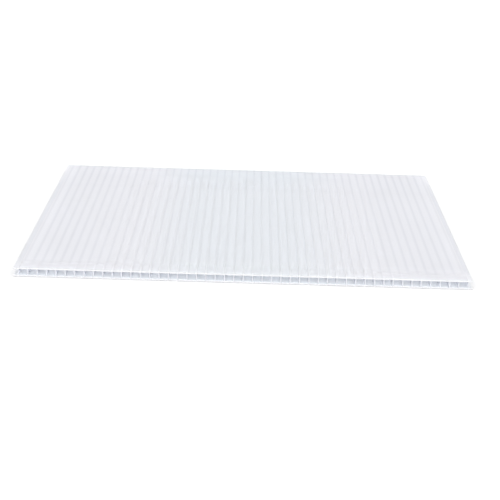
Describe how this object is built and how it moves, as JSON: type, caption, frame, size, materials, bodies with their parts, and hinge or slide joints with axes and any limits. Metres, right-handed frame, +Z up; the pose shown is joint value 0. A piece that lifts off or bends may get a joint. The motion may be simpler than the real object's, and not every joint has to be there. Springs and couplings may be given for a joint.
{
  "type": "corrugated plastic sheet",
  "caption": "Flat rectangular corrugated plastic sheet: smooth skins joined by straight upright ribs, with open flutes running its full length.",
  "frame": {"origin": "centre of the bottom face, on the surface the sheet lies on", "axes": "+X across the flutes, +Y along the flutes away from the viewer, +Z up through the thickness"},
  "size_m": [0.21, 0.297, 0.004],
  "materials": {
    "sheet": "natural translucent white polypropylene, smooth with a soft sheen"
  },
  "bodies": {
    "root": {"sheet": "sheet"}
  },
  "joints": []
}
